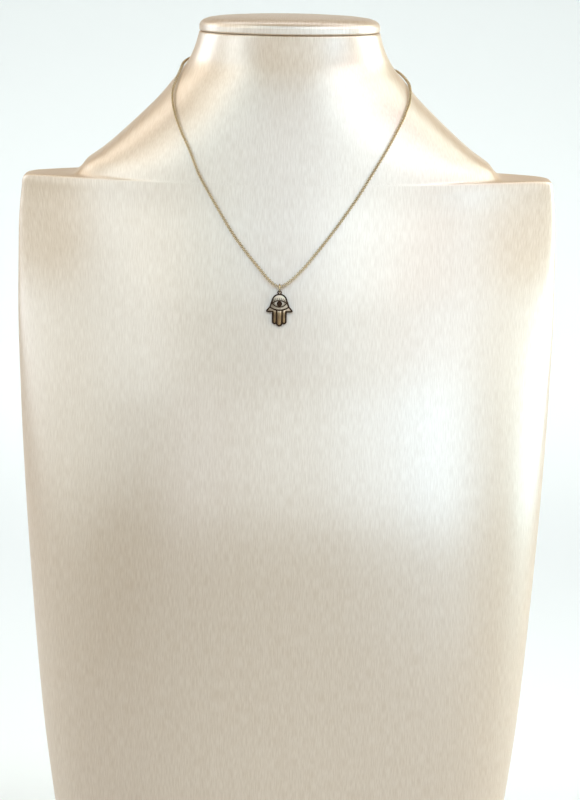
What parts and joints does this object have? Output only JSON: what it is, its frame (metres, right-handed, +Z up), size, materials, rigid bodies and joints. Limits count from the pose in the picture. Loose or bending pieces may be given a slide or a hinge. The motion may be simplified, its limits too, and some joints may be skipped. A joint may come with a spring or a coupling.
{
  "type": "hamsa pendant necklace on a neck bust",
  "caption": "Small hamsa pendant with an eye, hung from a fine belcher chain by a jump ring, round a tall pearl leatherette neck-and-shoulder display bust.",
  "frame": {"origin": "on the floor under the middle of the bust's box", "axes": "+Z up, the chest and the pendant face -Y, +X to the viewer's right"},
  "size_m": [0.301, 0.15, 0.5],
  "materials": {
    "leatherette": "champagne pearl leatherette with fine vertical streaks",
    "gold": "polished gold tone",
    "pendant_gold": "satin gold tone, slightly rosy",
    "dark_lines": "dark brown oxidised lines, semi-gloss"
  },
  "bodies": {
    "bust": {"bust_form": "leatherette", "bust_cap": "leatherette", "chain": "gold", "clasp": "gold"},
    "ring": {"jump_ring": "gold"},
    "pendant": {"hamsa_plate": "pendant_gold", "hamsa_lines": "dark_lines"}
  },
  "joints": [
    {"name": "ring_swing", "type": "hinge", "parent": "bust", "child": "ring", "pos_m": [-0.00344, -0.05982, 0.35737], "axis": [-1, 0, 0], "range_deg": [0, 100]},
    {"name": "pendant_sway", "type": "hinge", "parent": "ring", "child": "pendant", "pos_m": [-0.00344, -0.06031, 0.35443], "axis": [0, 0.9861, -0.1659], "range_deg": [-40, 40]}
  ]
}
